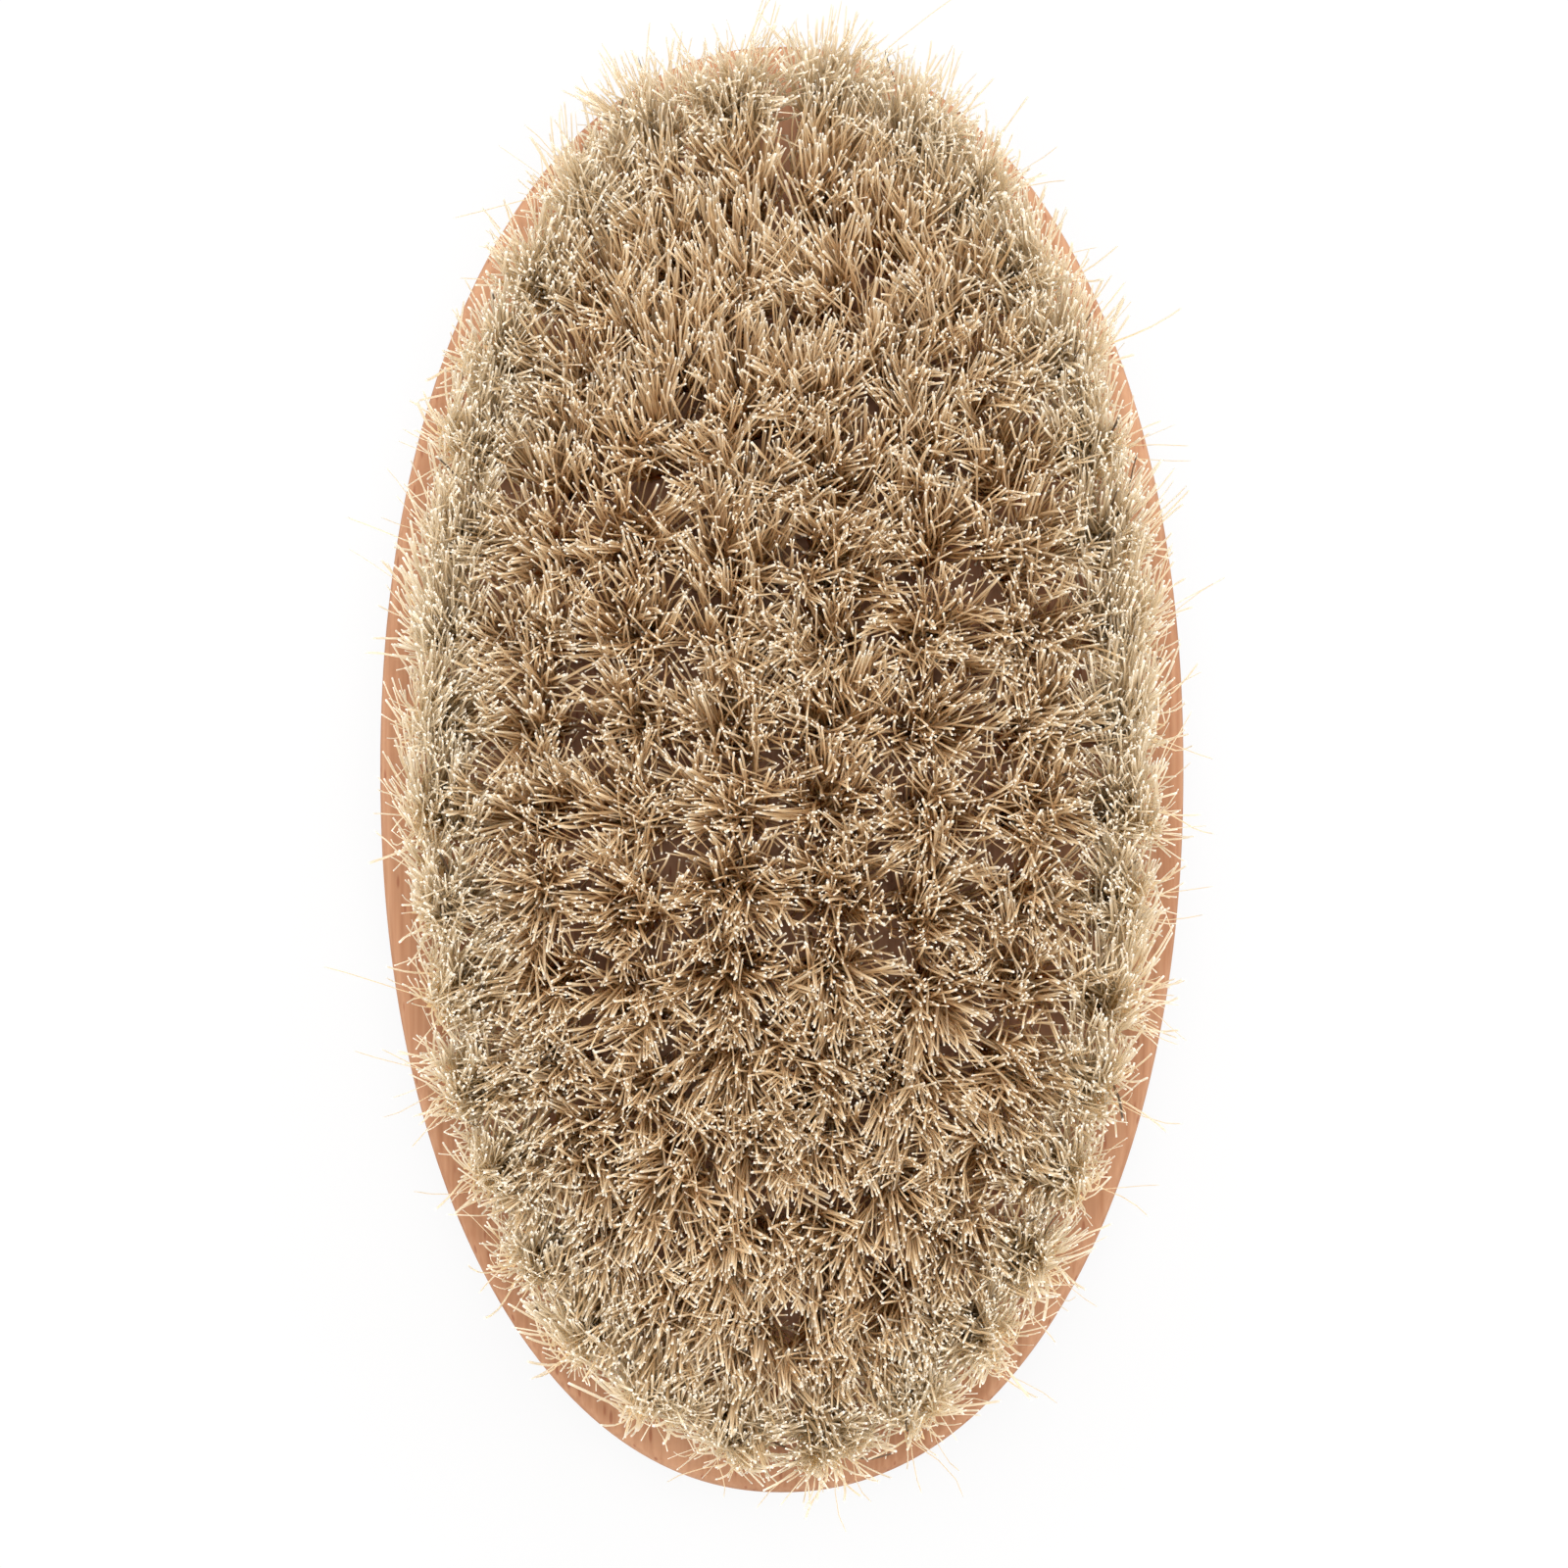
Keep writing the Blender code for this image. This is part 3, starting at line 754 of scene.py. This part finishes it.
def grow_quarter(kind, quarter, chance):
    """The bristles of one kind in one quarter of a ring."""
    name, habit, ring_name = f"{kind}_bristles_{quarter}", GROWTH[kind], kind.split("_")[0]
    outer = ring_name == RING_NAMES[0]
    mouths, outward = (rows * np.array(QUARTERS[quarter]) for rows in rings[ring_name])
    loosening = END_LOOSENING if outer else 0
    tufts = [grow_tuft(habit, mouth, out, loosening, chance) for mouth, out in zip(mouths, outward)]
    paths, shades = (np.concatenate(rows) for rows in zip(*tufts))
    thicker = np.clip(chance.normal(1, THICKNESS_SCATTER, (len(paths), 1)), *THICKNESS_LIMITS)
    radius = np.repeat(habit["thickness"] * MM / 2 * thicker, paths.shape[1], axis=1)
    radius[:, :2] *= ROOT_THICKENING
    mesh = build_tubes(name, paths, radius, shades, chance)
    piece = set_in_brush(name, mesh, pale_and_lit_bristle if outer else golden_and_shaded_bristle)
    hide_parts(f"{ring_name}_tufts_{quarter}")
    return piece


chance = np.random.default_rng(20)
bristle_pieces = [grow_quarter(kind, quarter, chance) for kind in GROWTH for quarter in QUARTERS]
print(len(bristle_pieces), "pieces of bristle,", sum(len(p.data.polygons) for p in bristle_pieces), "faces")

# %% [markdown]
# ## Stray hairs
#
# A few dozen fine hairs were missed by the shears. They are longer and softer than the rest, and they curl out
# over the rim, where the white background shows them one by one. Such hairs tell the eye that this is hair.
# They could be drawn by hand, but the same tubes and the same generator make them in a few lines.

# %% Let some hairs stray
STRAY_HAIRS = 70
STRAY_THICKNESS = 0.09 * MM
STRAY_SHADE, DARK_STRAY_SHARE = 0.4, 0.03
STRAY_PLACE = 0.8                        # of the bundle's radius: how far from its hole's middle one may stand
STRAY_END_BIAS = 0.6                     # below 1, more of them stand at the brush's two ends
STRAY_REACH, STRAY_SIDEWAYS, STRAY_CURL = (2 * MM, 9 * MM), 3.5 * MM, 1.6 * MM
STRAY_TOPS, STRAY_DROOP = (0.7, 1.0), 0.12           # of a bristle's length, and of that top


def grow_strays(chance):
    """Paths of long hairs that start in the outer tufts and curl outward."""
    mouths, outward = rings[RING_NAMES[0]]
    sides = np.array(list(QUARTERS.values()))
    pick = (len(mouths) * chance.uniform(0, 1, STRAY_HAIRS) ** STRAY_END_BIAS).astype(int)
    side = sides[chance.integers(0, len(sides), STRAY_HAIRS)]
    mouth = mouths[pick] * side + in_disc(chance, STRAY_HAIRS) * BUNDLE_RADIUS * STRAY_PLACE
    out = outward[pick] * side
    reach = out * chance.uniform(*STRAY_REACH, (STRAY_HAIRS, 1))
    sideways = chance.normal(0, STRAY_SIDEWAYS, (STRAY_HAIRS, 1)) * np.stack([-out[:, 1], out[:, 0]], axis=-1)
    s = RUN[None, :, None]
    curl = chance.normal(0, STRAY_CURL, (STRAY_HAIRS, 1, 2)) * np.sin(s * 1.5 * math.pi)
    flat = mouth[:, None] + reach[:, None] * s ** 2.4 + sideways[:, None] * s ** 3 + curl * s
    top = BRISTLE_LENGTH * chance.uniform(*STRAY_TOPS, (STRAY_HAIRS, 1))
    height = FACE_Z + top * (s[..., 0] - STRAY_DROOP * s[..., 0] ** 3)
    return with_root(np.concatenate([flat, height[..., None]], axis=2))


stray_paths = grow_strays(chance)
stray_radius = np.full(stray_paths.shape[:2], STRAY_THICKNESS / 2)
stray_shade = np.where(chance.uniform(0, 1, STRAY_HAIRS) < DARK_STRAY_SHARE, DARK_SHADE, STRAY_SHADE)
stray_mesh = build_tubes("stray_hairs", stray_paths, stray_radius, stray_shade, chance)
strays = set_in_brush("stray_hairs", stray_mesh, pale_and_lit_bristle)
print(STRAY_HAIRS, "stray hairs")

# %% [markdown]
# ## The draw wires
#
# Steel wire, drawn through a die, holds the bundles in their holes. It lies in grooves between the boards,
# where nothing shows it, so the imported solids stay, with the finish of drawn steel.

# %% Finish the wires
WIRE_GREY = "#C4C6C8"
WIRE_LINE_WIDTH, WIRE_LINE_LENGTH = 0.1 * MM, 2 * MM
WIRE_ROUGHNESS = (0.28, 0.42)


def make_wire_steel(name):
    """Steel drawn through a die. The die leaves fine lines, which blur its shine to a soft streak."""
    steel = new_material(name)
    line_place = along_grain(steel, WIRE_LINE_WIDTH, WIRE_LINE_LENGTH)
    lines = add(steel, "TexNoise", Vector=line_place, Scale=1.0, Detail=2.0)
    rough = add(steel, "MapRange", Value=lines.outputs[0], To_Min=WIRE_ROUGHNESS[0], To_Max=WIRE_ROUGHNESS[1])
    shader = add(steel, "BsdfPrincipled", Base_Color=linear(WIRE_GREY), Metallic=1.0,
                 Roughness=rough.outputs[0])
    add(steel, "OutputMaterial", Surface=shader.outputs[0])
    return steel


wire_steel = make_wire_steel("drawn_steel_wire")
for ring_name in RING_NAMES:
    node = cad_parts[f"draw_wire_{ring_name}"]
    node.data.materials.clear()
    node.data.materials.append(wire_steel)
print("finished", len(RING_NAMES), "wires in", wire_steel.name)

# %% [markdown]
# ## Floor and sky
#
# The brush was photographed on pure white, from straight above, in soft light. Stronger lamps would whiten the
# floor too, but they would bleach the brush. So the Light Path node tells apart the rays that show the floor,
# to the camera, in a reflection or through a bristle, and for those it glows white, mixed with a little of its
# own lit surface, so a trace of the shadow under the brush stays. The sky is white for them too, and lights the
# brush at a lower level.

# %% Lay the floor and hang the sky
FLOOR_HALF_WIDTH = 2.0
FLOOR_DROP = 0.1 * MM                    # it lies this far under the brush, so that the two don't flicker
FLOOR_GREY = "#C8C8C8"
KEPT_SHADOW = 0.14
SKY_LEVEL = 0.6


def seen_rays(owner):
    """1 for rays that show the background, and 0 for those that only carry its light to the brush."""
    rays = add(owner, "LightPath").outputs
    seen = rays["Is Camera Ray"]
    for other in ("Is Glossy Ray", "Is Transmission Ray"):
        seen = add(owner, "Math", {"operation": "MAXIMUM"}, i0=seen, i1=rays[other]).outputs[0]
    return seen


def make_white_paper(name):
    """White background paper, matt and rolled smooth, which keeps a trace of the shadow on it."""
    paper = new_material(name)
    share = add(paper, "Math", {"operation": "MULTIPLY"}, i0=seen_rays(paper), i1=1 - KEPT_SHADOW)
    lit = add(paper, "BsdfDiffuse", Color=linear(FLOOR_GREY))
    glow = add(paper, "Emission", Color=(1, 1, 1, 1), Strength=1.0)
    mix = add(paper, "MixShader", i0=share.outputs[0], i1=lit.outputs[0], i2=glow.outputs[0])
    add(paper, "OutputMaterial", Surface=mix.outputs[0])
    return paper


floor_mesh = bpy.data.meshes.new("floor")
bm = bmesh.new()
bmesh.ops.create_grid(bm, x_segments=1, y_segments=1, size=FLOOR_HALF_WIDTH)
bm.to_mesh(floor_mesh)
bm.free()
floor_mesh.materials.append(make_white_paper("white_paper_floor"))
floor = bpy.data.objects.new("floor", floor_mesh)
floor.location.z = -FLOOR_DROP
bpy.context.scene.collection.objects.link(floor)

world = bpy.data.worlds.new("light_tent")
bpy.context.scene.world = world
world.use_nodes = True
world.node_tree.nodes.clear()
strength = add(world, "MapRange", Value=seen_rays(world), To_Min=SKY_LEVEL, To_Max=1.0)
sky = add(world, "Background", Color=(1, 1, 1, 1), Strength=strength.outputs[0])
add(world, "OutputWorld", Surface=sky.outputs[0])
print("floor", 2 * FLOOR_HALF_WIDTH, "m wide, and a sky that lights at", SKY_LEVEL)

# %% [markdown]
# ## Lamps
#
# Five square soft lamps stand round the brush as in a light tent: one above, the strongest at the far end, and
# weaker ones at both sides and in front. Their levels are close to each other, so that no side goes black.
# A lamp's light falls with the square of its distance, so its power is worked out from a level. At level 1, one
# lamp alone makes a surface that faces it as bright as its colour says.

# %% Hang the lamps
LAMPS = {                                # place and width in metres, and level
    "top_lamp": ((0.01, 0.05, 1.1), 0.35, 0.7),
    "key_lamp": ((0.05, 0.7, 0.5), 0.6, 0.85),
    "left_lamp": ((-0.75, 0.0, 0.25), 0.6, 0.65),
    "right_lamp": ((0.75, 0.0, 0.25), 0.6, 0.65),
    "front_lamp": ((0.0, -0.75, 0.28), 0.6, 0.4),
}


def hang_lamp(name, place, width, level):
    """A square soft lamp, aimed at the middle of the brush's face."""
    lamp = bpy.data.lights.new(name, "AREA")
    lamp.shape = "SQUARE"
    lamp.size = width
    away = Vector(place) - Vector((0, 0, FACE_Z))
    lamp.energy = level * (math.pi * away.length) ** 2
    thing = bpy.data.objects.new(name, lamp)
    thing.location = place
    thing.rotation_euler = away.to_track_quat("Z", "Y").to_euler()
    thing.visible_camera = False
    bpy.context.scene.collection.objects.link(thing)
    print(name, round(lamp.energy, 1), "W")


for name, (place, width, level) in LAMPS.items():
    hang_lamp(name, place, width, level)

# %% [markdown]
# ## Camera
#
# The photograph looks straight down, with the brush's long side upright. In it the block's outline is centred
# at (797.8, 785.2) pixels of a 1600 pixel frame, and is 819.6 pixels wide. That fixes how much of the world the
# frame holds, and a lens of 170 mm puts the camera about 70 cm away.

# %% Place the camera
FRAME_PIXELS = 1600
BLOCK_WIDTH_PIXELS = 819.6
BLOCK_CENTRE_PIXELS = (797.8, 785.2)
LENS_MM, SENSOR_MM = 170, 36

pixel = 2 * HALF_WIDTH / BLOCK_WIDTH_PIXELS
outline_z = FACE_Z - FACE_ARRIS
camera_data = bpy.data.cameras.new("camera")
camera_data.lens, camera_data.sensor_width = LENS_MM, SENSOR_MM
camera = bpy.data.objects.new("camera", camera_data)
camera.location = (
    (FRAME_PIXELS / 2 - BLOCK_CENTRE_PIXELS[0]) * pixel,
    -(FRAME_PIXELS / 2 - BLOCK_CENTRE_PIXELS[1]) * pixel,
    outline_z + FRAME_PIXELS * pixel * LENS_MM / SENSOR_MM,
)
bpy.context.scene.collection.objects.link(camera)
bpy.context.scene.camera = camera
bpy.context.scene.view_settings.view_transform = "Standard"
print("camera", [round(v, 4) for v in camera.location], "m")
